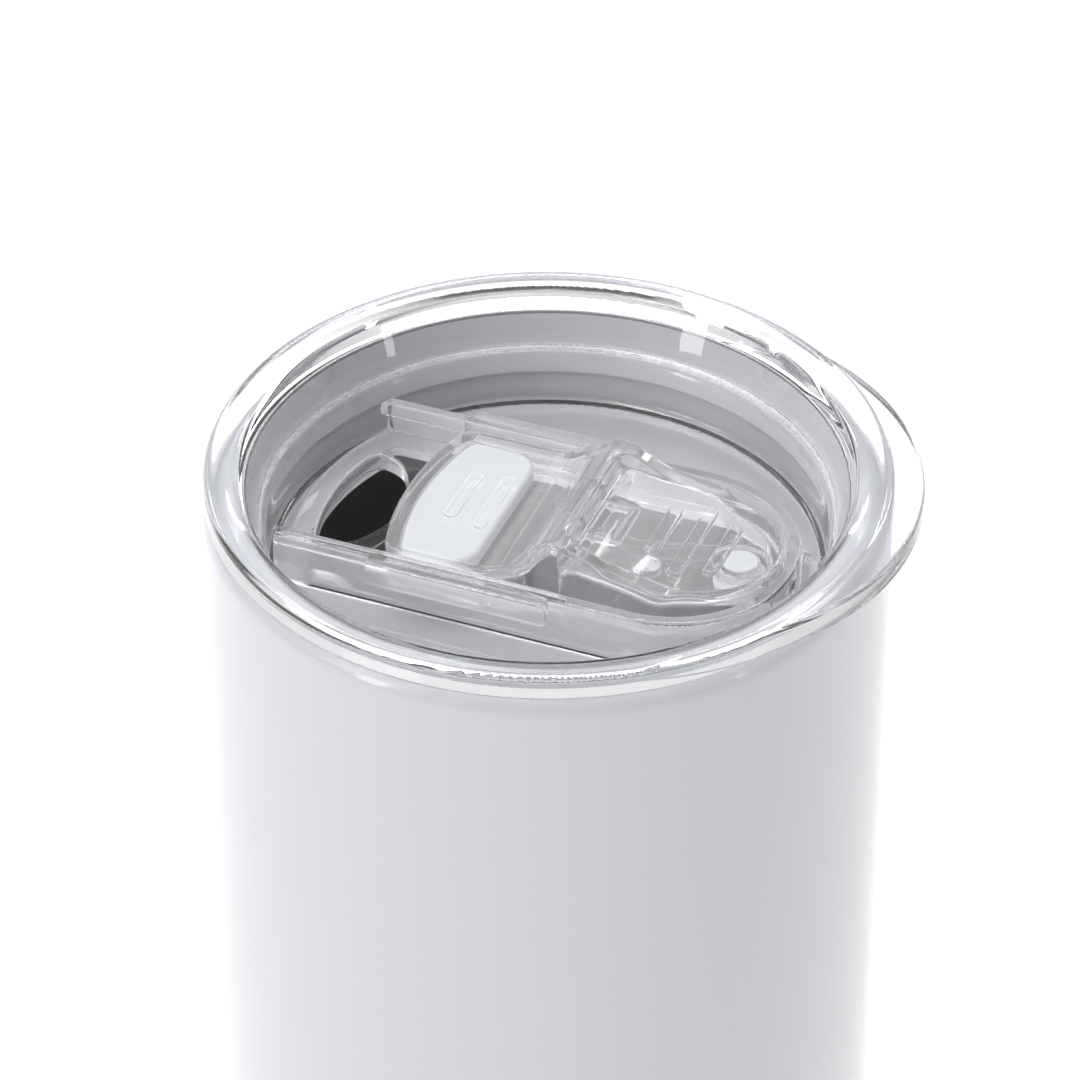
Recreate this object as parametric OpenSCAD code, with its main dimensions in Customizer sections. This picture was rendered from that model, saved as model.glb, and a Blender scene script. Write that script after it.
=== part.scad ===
// Double-wall vacuum tumbler with a clear press-in lid and a sliding mouthpiece cover.
// Z is up, with the origin on the tumbler's axis, on the surface that it stands on.
// +X points along the way the slider opens, away from the sip hole.

/* [Tumbler] */
// Outside diameter of the straight body
body_d = 74.2; // [74:0.1:78]
// Height of the drinking lip above the table
body_h = 203; // [120:1:260]
// Thickness of the outer steel wall with its coating
shell_t = 0.6; // [0.5:0.1:0.8]
// Thickness of the inner steel cup
liner_t = 0.5; // [0.4:0.1:0.6]
// Radius of the rounded shoulder below the lip
shoulder_r = 2.6; // [2:0.1:2.8]
// Height of the weld between the outer wall and the base
seam_z = 7; // [6:1:12]
// Height of the inside floor of the cup
cup_floor_z = 14; // [12:1:24]

/* [Lid] */
// Height of the lid's flange, from the lip to its crest
flange_h = 3.1; // [2.8:0.1:3.6]
// How far the thumb tab stands out beyond the flange
tab_reach = 3.4; // [2:0.1:6]
// Depth of the well floor below the lip
well_depth = 9.9; // [9.5:0.1:12]
// Thickness of the deck that the slider runs on
lid_wall = 2.2; // [1.8:0.1:2.4]
// Thickness of the well's floor
floor_t = 1.6; // [1.4:0.1:1.8]
// Inner radius of the well
well_r = 30.3; // [30.1:0.1:30.5]

/* [Slider] */
// Travel of the slider from open to closed
slide_travel = 10.5; // [8:0.5:10.5]
// Half the width between the two guide rails
rail_half = 12.4; // [12.4:0.1:12.8]
// Running gap around the slider
slide_gap = 0.3; // [0.25:0.05:0.4]
// Wall thickness of the slider's shell
slider_wall = 1.3; // [1.1:0.1:1.5]

/* [Hidden] */
round_fn = 120;
small_fn = 48;
eps = 0.01;

body_r = body_d / 2;

// The lid seats in a mouth a little wider than the cup below it
mouth_r = body_r - 3.4;
cup_r = mouth_r - 0.5;
seat_depth = 15;
seat_taper = 2;
seat_round = 1;
lip_weld_r = mouth_r + liner_t;
cup_corner_r = 9;
cup_dome = 1.2;

// Base: a foot ring around a recess, with a dimple for the evacuation hole
base_corner_r = 2.4;
foot_w = 3.8;
recess_z = 2.6;
recess_slope = 0.6;
dimple_r = 7;
dimple_rise = 1.8;
dimple_slope = 1.5;
seal_hole_r = 1.2;
press_r = 0.6;
bead_r = 3.6;
bead_h = 1.1;
cover_t = 0.5;
cover_edge_gap = 0.4;

// Getter: a pellet in a shallow clip on the vacuum side of the base
getter_x = 17;
getter_r = 4;
getter_h = 1.2;
clip_t = 0.4;
clip_lip = 0.8;
clip_flange = 2.2;

// Lid heights are counted from the underside of its flange
seat_gap = 0.1;
lid_z = body_h + seat_gap;
flange_r = body_r - 0.1;
crest_inset = 1.1;
crest_w = 1.2;
flange_edge_r = 0.3;
flange_inner_r = 32.6;
flange_inner_z = 1.2;
flange_slope_w = 0.9;
flange_dip = 0.8;
funnel_z = -3.8;
funnel_round = 1.5;
well_draft = 0.1;
well_corner_r = 1;
plug_corner_r = 1.2;
groove_edge_r = 0.2;
plug_r = mouth_r - 0.6;
plug_foot_r = plug_r - 0.3;
plug_z = -well_depth - 3.3;
floor_under_z = -well_depth - floor_t;
skirt_edge_r = 0.4;
groove_top_z = -4.3;
groove_bottom_z = -7.3;
groove_r = well_r + 1.6;

// Gasket: two sealing fins on a band that fills the groove
gasket_gap = 0.3;
gasket_r = mouth_r - 0.3;
gasket_band_r = plug_foot_r;
gasket_fin_t = 0.8;
gasket_round = 0.3;

// Tab: a disc that stands out beyond the flange on one side, a little lower than its crest
tab_r = 30.5;
tab_turn = 13;
tab_x = flange_r + tab_reach - tab_r;
tab_h = flange_h - 0.4;
tab_edge_r = 0.45;

// Slide track: a raised island with two rails that join in a U
island_r = 27.9;
rail_t = 1.6;
rail_bend_x = 14.3;
rail_top_z = -3.9;
deck_z = -7.8;
rail_lip_t = 1.7;
groove_d = 0.85;
pad_block_x = [-15, 5.5];
pad_block_t = 1.3;
pad_block_h = 2.9;
tie_rib_y = 5;
tie_rib_t = 1.2;
tie_rib_root = 1.2;
tie_rib_len = 4.2;
tie_rib_top_z = -5;
rail_half_out = rail_half + rail_t;
deck_under_z = deck_z - lid_wall;
vent_hole_r = 1.2;

// Sip hole: between an arc about the lid's centre and a tighter arc that faces it
sip_outer_r = 25.2;
sip_inner_x = -28.3;
sip_inner_r = 11;
sip_corner_r = 2.6;
sip_half = 8.6;

// Slider, at rest fully open
plate_half = rail_half - slide_gap;
wing_half = rail_half + groove_d - slide_gap;
plate_top_z = rail_top_z - 0.2;
plate_front_x = -16.2;
plate_front_r = 35;
plate_end_x = 2.4;
plate_corner_r = 1.5;
step_corner_r = 0.6;
wing_x = [-13.6, -2.2];
wing_top_z = rail_top_z - rail_lip_t - slide_gap;
wing_root = 0.5;
slider_foot_z = deck_z + slide_gap;
grip_half = 10.5;
grip_end_x = 15.5;
tail_x = 17.2;
tail_r = 9.2;
tail_turn = 67;
tail_top_z = -3.2;
ridge_x = 4.4;
ridge_z = 0.4;
ridge_w = 1.4;
ridge_face_w = 1.2;
ridge_face_h = 1.6;
ridge_ear = 2.4;
thumb_half = 8.4;
thumb_corner_r = 2.4;
thumb_wall_w = 1.4;
thumb_z = -1.2;
scoop_x = 11.4;
scoop_z = -2.3;
rim_scoop_z = -2.0;
ramp_x = -3.8;
grip_ribs = [[13.4, 4.2], [16.7, 6.4], [20.1, 4.5]];
rib_w = 1.5;
rib_h = 0.35;
pad_ribs = [[-9.8, 4.2], [-6.2, 4.9]];
stiffener_x = [3.9, 9.5];
stiffener_half = 3.5;
stiffener_t = 0.8;
stiffener_lift = 3.4;

// Silicone parts under the slider
pad_x = [-14.8, -4.9];
pad_half = 10.7;
pad_corner_r = 3;
pad_front_r = 33;
silicone_gap = 0.1;
plug_x = 22.1;
vent_plug_r = 2.05;
plug_disc_r = 2.9;
plug_disc_t = 0.9;
plug_socket_t = 0.8;
plug_socket_h = 1.6;
vent_x = plug_x - slide_travel;

// ---- Outline helpers ----

function unit(v) = v / norm(v);

function wrapped(a) = a > 180 ? a - 360 : a < -180 ? a + 360 : a;

// The points that round one corner b, between its neighbours a and c, with radius r
function corner(a, b, c, r, steps) =
    r <= 0 ? [b] :
    let(
        to_a = unit(a - b),
        to_c = unit(c - b),
        half = acos(to_a * to_c) / 2,
        centre = b + unit(to_a + to_c) * r / sin(half),
        first = b + to_a * r / tan(half) - centre,
        last = b + to_c * r / tan(half) - centre,
        start = atan2(first.y, first.x),
        sweep = wrapped(atan2(last.y, last.x) - start)
    )
    [for (i = [0:steps]) let(t = start + sweep * i / steps) centre + r * [cos(t), sin(t)]];

// A closed outline from [x, y, corner radius] entries
function rounded(points, steps = 5) =
    let(n = len(points), xy = [for (p = points) [p[0], p[1]]])
    [for (i = [0:n - 1]) each corner(xy[(i + n - 1) % n], xy[i], xy[(i + 1) % n], points[i][2], steps)];

function arc(centre, r, from, to, steps) =
    [for (i = [0:steps]) let(t = from + (to - from) * i / steps) centre + r * [cos(t), sin(t)]];

// A body turned about Z from [radius, height, corner radius] entries
module turned(profile, fn = round_fn) {
    rotate_extrude($fn = fn) polygon(rounded(profile));
}

module disc(r, low_z, high_z, fn = small_fn) {
    translate([0, 0, low_z]) cylinder(r = r, h = high_z - low_z, $fn = fn);
}

// A box between two corners
module block(low, high) {
    translate(low) cube(high - low);
}

// A flat bar with round ends, across the slider at x
module cross_rib(x, half, w, low_z, high_z) {
    translate([x, 0, low_z]) linear_extrude(high_z - low_z) {
        square([w, 2 * half - w], center = true);
        for (side = [-1, 1]) translate([0, side * (half - w / 2)]) circle(d = w, $fn = 24);
    }
}

// ---- Tumbler ----

module outer_shell() {
    color("white") turned([
        [lip_weld_r, body_h, 0],
        [body_r, body_h, shoulder_r],
        [body_r, seam_z, 0],
        [body_r - shell_t, seam_z, 0],
        [body_r - shell_t, body_h - shell_t, shoulder_r - shell_t],
        [lip_weld_r, body_h - shell_t, 0]
    ]);
}

module inner_liner() {
    seat_z = body_h - seat_depth;
    color("silver") turned([
        [mouth_r, body_h, 0],
        [mouth_r, seat_z, seat_round],
        [cup_r, seat_z - seat_taper, seat_round],
        [cup_r, cup_floor_z, cup_corner_r],
        [0, cup_floor_z + cup_dome, 0],
        [0, cup_floor_z + cup_dome - liner_t, 0],
        [cup_r + liner_t, cup_floor_z - liner_t, cup_corner_r + liner_t],
        [cup_r + liner_t, seat_z - seat_taper, seat_round],
        [mouth_r + liner_t, seat_z, seat_round],
        [mouth_r + liner_t, body_h, 0]
    ]);
}

module outer_base() {
    foot_r = body_r - foot_w;
    recess_r = foot_r - recess_slope;
    dimple_z = recess_z + dimple_rise;
    dimple_top_r = dimple_r - dimple_slope;
    color("white") turned([
        [body_r, seam_z, 0],
        [body_r, 0, base_corner_r],
        [foot_r, 0, press_r],
        [recess_r, recess_z, press_r],
        [dimple_r, recess_z, press_r],
        [dimple_top_r, dimple_z, press_r],
        [seal_hole_r, dimple_z, 0],
        [seal_hole_r, dimple_z + shell_t, 0],
        [dimple_top_r + shell_t / 2, dimple_z + shell_t, press_r],
        [dimple_r + shell_t / 2, recess_z + shell_t, press_r],
        [recess_r + shell_t, recess_z + shell_t, press_r],
        [foot_r + shell_t, shell_t, press_r / 2],
        [body_r - shell_t, shell_t, base_corner_r - shell_t],
        [body_r - shell_t, seam_z, 0]
    ]);
}

// The bare steel disc that hides the evacuation hole
module base_cover() {
    edge_r = body_r - foot_w - recess_slope - cover_edge_gap;
    color("lightsteelblue") turned([
        [0, recess_z, 0],
        [0, recess_z - cover_t, 0],
        [edge_r, recess_z - cover_t, cover_t / 2],
        [edge_r, recess_z, 0]
    ]);
}

// Solder bead that closes the evacuation hole after pumping
module vacuum_seal() {
    dimple_z = recess_z + dimple_rise;
    color("slategray") turned([
        [0, dimple_z + shell_t, 0],
        [0, dimple_z - bead_h, 0],
        [bead_r * 0.8, dimple_z - bead_h * 0.7, 0.5],
        [bead_r, dimple_z, 0],
        [seal_hole_r, dimple_z, 0],
        [seal_hole_r, dimple_z + shell_t, 0]
    ], small_fn);
}

module getter_clip() {
    floor_z = recess_z + shell_t;
    wall_r = getter_r + clip_t;
    top_z = floor_z + clip_t + getter_h + clip_t;
    color("gray") translate([getter_x, 0, 0]) turned([
        [0, floor_z, 0],
        [wall_r + clip_flange, floor_z, 0],
        [wall_r + clip_flange, floor_z + clip_t, 0],
        [wall_r, floor_z + clip_t, 0],
        [wall_r, top_z, 0],
        [getter_r - clip_lip, top_z, 0],
        [getter_r - clip_lip, top_z - clip_t, 0],
        [getter_r, top_z - clip_t, 0],
        [getter_r, floor_z + clip_t, 0],
        [0, floor_z + clip_t, 0]
    ], small_fn);
}

module getter_pellet() {
    low_z = recess_z + shell_t + clip_t;
    color("dimgray") translate([getter_x, 0, 0]) disc(getter_r, low_z, low_z + getter_h);
}

// ---- Lid ----

module tab_plate() {
    rotate([0, 0, tab_turn]) difference() {
        translate([tab_x, 0, 0]) turned([
            [0, 0, 0],
            [tab_r, 0, flange_edge_r],
            [tab_r, tab_h, tab_edge_r],
            [0, tab_h, 0]
        ]);
        disc(flange_r - crest_inset - crest_w / 2, -1, flange_h + 1, round_fn);
    }
}

module lid_bowl() {
    floor_z = -well_depth;
    turned([
        [flange_r, 0, flange_edge_r],
        [flange_r, flange_h, crest_inset],
        [flange_r - crest_inset - crest_w, flange_h, crest_w / 2],
        [flange_inner_r + flange_slope_w, flange_h - flange_dip, flange_edge_r],
        [flange_inner_r, flange_inner_z, flange_slope_w],
        [well_r, funnel_z, funnel_round],
        [well_r - well_draft, floor_z, well_corner_r],
        [0, floor_z, 0],
        [0, floor_under_z, 0],
        [well_r, floor_under_z, skirt_edge_r],
        [well_r, plug_z, skirt_edge_r],
        [plug_foot_r, plug_z, plug_corner_r],
        [plug_foot_r, groove_bottom_z, groove_edge_r],
        [groove_r, groove_bottom_z, 0],
        [groove_r, groove_top_z, 0],
        [plug_r, groove_top_z, groove_edge_r],
        [plug_r, 0, 0]
    ]);
}

// Plan of the island: a strip cut off by the well's arc, closed by a half circle
module island_plan(grow = 0) {
    intersection() {
        circle(r = island_r + grow, $fn = round_fn);
        translate([-island_r - 1, -rail_half_out - grow]) {
            square([island_r + 1 + rail_bend_x, 2 * (rail_half_out + grow)]);
        }
    }
    translate([rail_bend_x, 0]) circle(r = rail_half_out + grow, $fn = round_fn);
}

module channel_plan(half) {
    translate([-2 * island_r, -half]) square([2 * island_r + rail_bend_x, 2 * half]);
    translate([rail_bend_x, 0]) circle(r = half, $fn = round_fn);
}

module slide_track() {
    groove_half = rail_half + groove_d;
    difference() {
        union() {
            translate([0, 0, -well_depth - eps]) {
                linear_extrude(rail_top_z + well_depth + eps) island_plan();
            }
            for (side = [-1, 1]) {
                block(
                    [pad_block_x[0], side * rail_half_out - (side < 0 ? pad_block_t : eps),
                        rail_top_z - pad_block_h],
                    [pad_block_x[1], side * rail_half_out + (side < 0 ? eps : pad_block_t),
                        rail_top_z]
                );
            }
        }
        translate([0, 0, deck_z]) linear_extrude(well_depth) channel_plan(rail_half);
        block([-2 * island_r, -groove_half, deck_z], [0, groove_half, rail_top_z - rail_lip_t]);
    }
}

// Two short ribs that tie the bend of the track to the wall of the well
module tie_ribs() {
    for (side = [-1, 1]) {
        start = [rail_bend_x + rail_half_out - tie_rib_root, side * tie_rib_y - tie_rib_t / 2, -well_depth];
        block(start, [start.x + tie_rib_len, start.y + tie_rib_t, tie_rib_top_z]);
    }
}

module sip_plan() {
    tip = [-sip_outer_r * cos(asin((sip_half - sip_corner_r) / (sip_outer_r - sip_corner_r)))
        + sip_corner_r, sip_half - sip_corner_r];
    intersection() {
        circle(r = sip_outer_r, $fn = round_fn);
        translate([sip_inner_x, 0]) circle(r = sip_inner_r, $fn = round_fn);
        translate([-2 * sip_outer_r, -tip.y]) square([2 * sip_outer_r, 2 * tip.y]);
    }
    for (side = [-1, 1]) translate([tip.x, side * tip.y]) circle(r = sip_corner_r, $fn = small_fn);
}

module lid_body() {
    color("lightcyan") translate([0, 0, lid_z]) difference() {
        union() {
            lid_bowl();
            tab_plate();
            slide_track();
            tie_ribs();
        }
        translate([0, 0, plug_z - 1]) {
            linear_extrude(deck_under_z - plug_z + 1) island_plan(-lid_wall);
            linear_extrude(well_depth) sip_plan();
        }
        translate([vent_x, 0, 0]) disc(vent_hole_r, plug_z, rail_top_z, small_fn);
    }
}

module lid_gasket() {
    low_z = groove_bottom_z + gasket_gap;
    high_z = groove_top_z - gasket_gap;
    color("whitesmoke") translate([0, 0, lid_z]) turned([
        [groove_r + gasket_gap, low_z, 0],
        [gasket_r, low_z, gasket_round],
        [gasket_r, low_z + gasket_fin_t, gasket_round],
        [gasket_band_r, low_z + gasket_fin_t, 0],
        [gasket_band_r, high_z - gasket_fin_t, 0],
        [gasket_r, high_z - gasket_fin_t, gasket_round],
        [gasket_r, high_z, gasket_round],
        [groove_r + gasket_gap, high_z, 0]
    ]);
}

// ---- Slider ----

function flat(points) = [for (p = points) [p.x, p.y, 0]];

// Plan of the slider, drawn in by inset: curved front, wide plate, narrower grip, round tail
function slider_outline(inset) =
    let(
        half = plate_half - inset,
        grip = grip_half - inset,
        end_x = plate_end_x - inset,
        front_r = plate_front_r - inset,
        front_x = plate_front_x + plate_front_r,
        spread = asin((half - 2 * plate_corner_r) / front_r),
        corner_x = front_x - sqrt(front_r * front_r - half * half),
        near = [
            [corner_x, -half, plate_corner_r],
            [end_x, -half, step_corner_r],
            [end_x, -grip, step_corner_r],
            [grip_end_x, -grip, plate_corner_r]
        ],
        tail = arc([tail_x, 0], tail_r - inset, -tail_turn, tail_turn, 24),
        far = [for (i = [3:-1:0]) [near[i][0], -near[i][1], near[i][2]]],
        front = arc([front_x, 0], front_r, 180 - spread, 180 + spread, 12)
    )
    rounded(concat(near, flat(tail), far, flat(front)));

// The slider's top from front to tail as [x, z, corner radius], up to the front of the ridge
function front_line() = [
    [plate_front_x - 1, plate_top_z, 0],
    [ramp_x, plate_top_z, 4],
    [ridge_x - ridge_w / 2 - ridge_face_w, ridge_z - ridge_face_h, 1.6],
    [ridge_x - ridge_w / 2, ridge_z, 0.5]
];

function tail_line() = [[tail_x, tail_top_z, 8], [tail_x + tail_r + 1, tail_top_z, 0]];

// Along the rim, the ends of the ridge run back before they drop to the tail
function rim_line() = concat(
    front_line(),
    [[ridge_x + ridge_ear, ridge_z - 0.2, 1.8], [scoop_x, rim_scoop_z, 4]],
    tail_line()
);

// Between the rims, the ridge drops at once into a hollow for the thumb
function floor_line() = concat(
    front_line(),
    [
        [ridge_x + ridge_w / 2, ridge_z, 0.5],
        [ridge_x + ridge_w / 2 + thumb_wall_w, thumb_z, 1],
        [scoop_x + 2, scoop_z, 8]
    ],
    tail_line()
);

// The solid below a side line dropped by drop, cut to the slider's plan drawn in by inset
module slider_form(line, inset, drop, foot_z) {
    side = concat(line, [[tail_x + tail_r + 1, foot_z + drop, 0], [plate_front_x - 1, foot_z + drop, 0]]);
    intersection() {
        translate([0, 0, -drop]) rotate([90, 0, 0]) translate([0, 0, -2 * rail_half]) {
            linear_extrude(4 * rail_half) polygon(rounded(side));
        }
        translate([0, 0, foot_z - 1]) linear_extrude(2 * well_depth) polygon(slider_outline(inset));
    }
}

module thumb_plan() {
    r = thumb_corner_r;
    polygon(rounded([
        [ridge_x, -thumb_half, r], [tail_x + tail_r, -thumb_half, r],
        [tail_x + tail_r, thumb_half, r], [ridge_x, thumb_half, r]
    ]));
}

// Low ribs that follow the slider's top face
module top_ribs() {
    intersection() {
        slider_form(floor_line(), slider_wall, -rib_h, slider_foot_z);
        for (rib = concat(grip_ribs, pad_ribs)) {
            cross_rib(rib[0], rib[1], rib_w, plate_top_z - slider_wall / 2, ridge_z + 1);
        }
    }
}

// Box of thin walls under the grip
module stiffener() {
    low = [stiffener_x[0], -stiffener_half, slider_foot_z + stiffener_lift];
    high = [stiffener_x[1], stiffener_half, ridge_z + 1];
    t = [stiffener_t, stiffener_t, 0];
    difference() {
        block(low, high);
        block(low + t - [0, 0, 1], high - t + [0, 0, 1]);
    }
}

module plug_socket() {
    low_z = tail_top_z - slider_wall - plug_socket_h;
    translate([plug_x, 0, 0]) difference() {
        disc(vent_plug_r + silicone_gap + plug_socket_t, low_z, ridge_z);
        disc(vent_plug_r + silicone_gap, low_z - 1, ridge_z + 1);
    }
}

module slider() {
    color("aliceblue") translate([0, 0, lid_z]) {
        difference() {
            union() {
                slider_form(floor_line(), 0, 0, slider_foot_z);
                top_ribs();
                difference() {
                    slider_form(rim_line(), 0, 0, slider_foot_z);
                    translate([0, 0, slider_foot_z - 1]) linear_extrude(well_depth + 1) thumb_plan();
                }
            }
            difference() {
                slider_form(floor_line(), slider_wall, slider_wall, slider_foot_z - 1);
                stiffener();
                plug_socket();
            }
        }
        for (side = [-1, 1]) {
            block(
                [wing_x[0], side > 0 ? plate_half - wing_root : -wing_half, slider_foot_z],
                [wing_x[1], side > 0 ? wing_half : wing_root - plate_half, wing_top_z]
            );
        }
    }
}

module pad_plan() {
    length = pad_x[1] - pad_x[0];
    intersection() {
        translate([pad_x[0] + pad_front_r, 0]) circle(r = pad_front_r, $fn = round_fn);
        polygon(rounded([
            [pad_x[0] - 1, -pad_half, pad_corner_r + 1],
            [pad_x[1], -pad_half, pad_corner_r],
            [pad_x[1], pad_half, pad_corner_r],
            [pad_x[0] - 1, pad_half, pad_corner_r + 1]
        ]));
    }
}

// The silicone pad that covers the sip hole when the slider is closed
module slider_pad() {
    color("white") translate([0, 0, lid_z + deck_z + silicone_gap]) {
        linear_extrude(plate_top_z - slider_wall - deck_z - silicone_gap) pad_plan();
    }
}

// The silicone plug that closes the vent hole when the slider is closed
module vent_plug() {
    low_z = deck_z + silicone_gap;
    color("white") translate([plug_x, 0, lid_z]) {
        disc(plug_disc_r, low_z, low_z + plug_disc_t);
        disc(vent_plug_r, low_z, tail_top_z - slider_wall);
    }
}

outer_shell();
inner_liner();
outer_base();
base_cover();
vacuum_seal();
getter_clip();
getter_pellet();
lid_body();
lid_gasket();
slider();
slider_pad();
vent_plug();
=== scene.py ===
"""Looks of a double-wall tumbler with a clear press-in lid and a sliding cover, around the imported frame.

The clear lid and its slider are moulded plastic, so they are built as distance fields: each wall, rail and
rib is a simple form, and joining or cutting two forms with a radius leaves the fillet that a mould leaves.
A field is then turned into one closed mesh with exact normals. The vessel's walls are profiles turned about
Z. Lengths are in millimetres until a mesh is made.
"""

import math

import bpy
import numpy as np
from mathutils import Matrix, Vector


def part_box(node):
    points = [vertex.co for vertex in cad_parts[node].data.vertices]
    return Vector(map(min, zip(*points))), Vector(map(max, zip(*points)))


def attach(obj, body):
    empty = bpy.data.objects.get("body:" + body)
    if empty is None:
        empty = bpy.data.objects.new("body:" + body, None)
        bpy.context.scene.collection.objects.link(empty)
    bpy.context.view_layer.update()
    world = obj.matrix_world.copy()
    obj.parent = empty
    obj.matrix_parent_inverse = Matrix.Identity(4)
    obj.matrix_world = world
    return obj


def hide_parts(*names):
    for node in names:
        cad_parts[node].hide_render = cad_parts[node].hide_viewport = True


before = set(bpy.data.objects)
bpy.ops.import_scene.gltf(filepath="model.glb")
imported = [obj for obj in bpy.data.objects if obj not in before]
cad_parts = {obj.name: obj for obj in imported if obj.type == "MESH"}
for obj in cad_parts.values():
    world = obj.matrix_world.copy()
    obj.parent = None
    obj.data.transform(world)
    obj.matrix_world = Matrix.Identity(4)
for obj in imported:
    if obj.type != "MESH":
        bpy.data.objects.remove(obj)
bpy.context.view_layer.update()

MM = 0.001


def corners_mm(node):
    """The lowest and highest corner of a CAD node, in millimetres."""
    low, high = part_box(node)
    return low / MM, high / MM


# ---- Dimensions, from the frame ----

shell_low, shell_high = corners_mm("outer_shell")
lid_low, lid_high = corners_mm("lid_body")
liner_low, liner_high = corners_mm("inner_liner")
gasket_low, gasket_high = corners_mm("lid_gasket")

BODY_R = shell_high.x
BODY_H = shell_high.z
SEAM_Z = shell_low.z
MOUTH_WALL_R = liner_high.x
FLANGE_R = -lid_low.x
FLANGE_H = 3.1
LID_Z = lid_high.z - FLANGE_H
PLUG_Z = lid_low.z - LID_Z

# ---- Distance fields: inside is negative ----


def join(a, b, radius=0.0):
    """The union of two fields, with a fillet of that radius where they meet."""
    if radius == 0:
        return np.minimum(a, b)
    near = np.hypot(np.maximum(radius - a, 0), np.maximum(radius - b, 0))
    return np.maximum(radius, np.minimum(a, b)) - near


def meet(a, b, radius=0.0):
    """The common part of two fields, with its edge rounded to that radius."""
    if radius == 0:
        return np.maximum(a, b)
    near = np.hypot(np.maximum(radius + a, 0), np.maximum(radius + b, 0))
    return np.minimum(-radius, np.maximum(a, b)) + near


def cut(a, b, radius=0.0):
    """a with b taken out, with the edge rounded to that radius."""
    return meet(a, -b, radius)


def slab(value, low, high, radius=0.0):
    return meet(low - value, value - high, radius)


def rect(x, y, low, high, radius=0.0):
    """A rectangle between two corners, with rounded corners."""
    cx, cy = (low[0] + high[0]) / 2, (low[1] + high[1]) / 2
    dx = np.abs(x - cx) - (high[0] - low[0]) / 2 + radius
    dy = np.abs(y - cy) - (high[1] - low[1]) / 2 + radius
    outside = np.hypot(np.maximum(dx, 0), np.maximum(dy, 0))
    return outside + np.minimum(np.maximum(dx, dy), 0) - radius


def bar(x, y, ends_y, at_x, radius):
    """A round-ended bar across the slider."""
    over = np.maximum(np.abs(y) - (ends_y - radius), 0)
    return np.hypot(x - at_x, over) - radius


def above(r, z, start, end):
    """The region above the line from start to end, in the plane of radius and height."""
    dr, dz = end[0] - start[0], end[1] - start[1]
    length = math.hypot(dr, dz)
    return ((r - start[0]) * dz - (z - start[1]) * dr) / length


def curve(x, knots):
    """A smooth curve through [x, y] knots, level beyond its ends."""
    kx = np.array([k[0] for k in knots], float)
    ky = np.array([k[1] for k in knots], float)
    slope = np.diff(ky) / np.diff(kx)
    tangent = np.concatenate([[0], (slope[1:] + slope[:-1]) / 2, [0]])
    turn = np.concatenate([[True], slope[1:] * slope[:-1] <= 0, [True]])
    tangent[turn] = 0
    i = np.clip(np.searchsorted(kx, x) - 1, 0, len(kx) - 2)
    width = kx[i + 1] - kx[i]
    t = np.clip((x - kx[i]) / width, 0, 1)
    rest = 1 - t
    return (
        ky[i] * rest * rest * (1 + 2 * t)
        + ky[i + 1] * t * t * (3 - 2 * t)
        + width * t * rest * (tangent[i] * rest - tangent[i + 1] * t)
    )


# ---- From a field to a mesh ----

BLOCK = 8


def sample(field, low, high, step):
    """The field's values on a grid, worked out one by one only in the blocks that the surface can reach."""
    counts = [math.ceil((high[i] - low[i]) / step / BLOCK) for i in range(3)]
    middles = [low[i] + step * (BLOCK * np.arange(counts[i]) + (BLOCK - 1) / 2) for i in range(3)]
    coarse = field(*np.meshgrid(*middles, indexing="ij"))
    grid = coarse.repeat(BLOCK, 0).repeat(BLOCK, 1).repeat(BLOCK, 2)
    reach = step * BLOCK * 1.2
    blocks = np.argwhere(np.abs(coarse) < reach) * BLOCK
    inner = np.stack(np.meshgrid(*[np.arange(BLOCK)] * 3, indexing="ij"), -1).reshape(-1, 3)
    points = (blocks[:, None, :] + inner[None, :, :]).reshape(-1, 3)
    x, y, z = (low[i] + step * points[:, i] for i in range(3))
    grid[points[:, 0], points[:, 1], points[:, 2]] = field(x, y, z)
    return grid


def net(grid, low, step):
    """Points and four-sided faces of the surface where the grid changes sign."""
    inside = grid < 0
    shape = np.array(grid.shape) - 1
    offsets = [(i, j, k) for i in (0, 1) for j in (0, 1) for k in (0, 1)]

    def shifted(array, o):
        return array[o[0] : o[0] + shape[0], o[1] : o[1] + shape[1], o[2] : o[2] + shape[2]]

    count = sum(shifted(inside, o).astype(np.int8) for o in offsets)
    mixed = (count > 0) & (count < 8)
    cells = np.argwhere(mixed)
    number = np.full(shape, -1)
    number[mixed] = np.arange(len(cells))
    total = np.zeros((len(cells), 3))
    crossings = np.zeros(len(cells))
    for a in offsets:
        for axis in range(3):
            if a[axis]:
                continue
            b = tuple(1 if i == axis else a[i] for i in range(3))
            va, vb = shifted(grid, a)[mixed], shifted(grid, b)[mixed]
            crosses = (va < 0) != (vb < 0)
            t = np.where(crosses, va / np.where(crosses, va - vb, 1), 0)
            place = np.array(a, float) + t[:, None] * (np.array(b) - np.array(a))
            total += place * crosses[:, None]
            crossings += crosses
    points = low + step * (cells + total / crossings[:, None])

    faces = []
    for axis in range(3):
        first, second = (axis + 1) % 3, (axis + 2) % 3
        here = inside[tuple(slice(0, -1) if i == axis else slice(1, -1) for i in range(3))]
        there = inside[tuple(slice(1, None) if i == axis else slice(1, -1) for i in range(3))]
        for solid, way in ((here & ~there, 1), (there & ~here, -1)):
            edge = np.argwhere(solid)
            edge[:, first] += 1
            edge[:, second] += 1
            ring = []
            for back_first, back_second in ((1, 1), (0, 1), (0, 0), (1, 0))[::way]:
                cell = edge.copy()
                cell[:, first] -= back_first
                cell[:, second] -= back_second
                ring.append(number[cell[:, 0], cell[:, 1], cell[:, 2]])
            faces.append(np.stack(ring, 1))
    return points, np.concatenate(faces)


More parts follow.
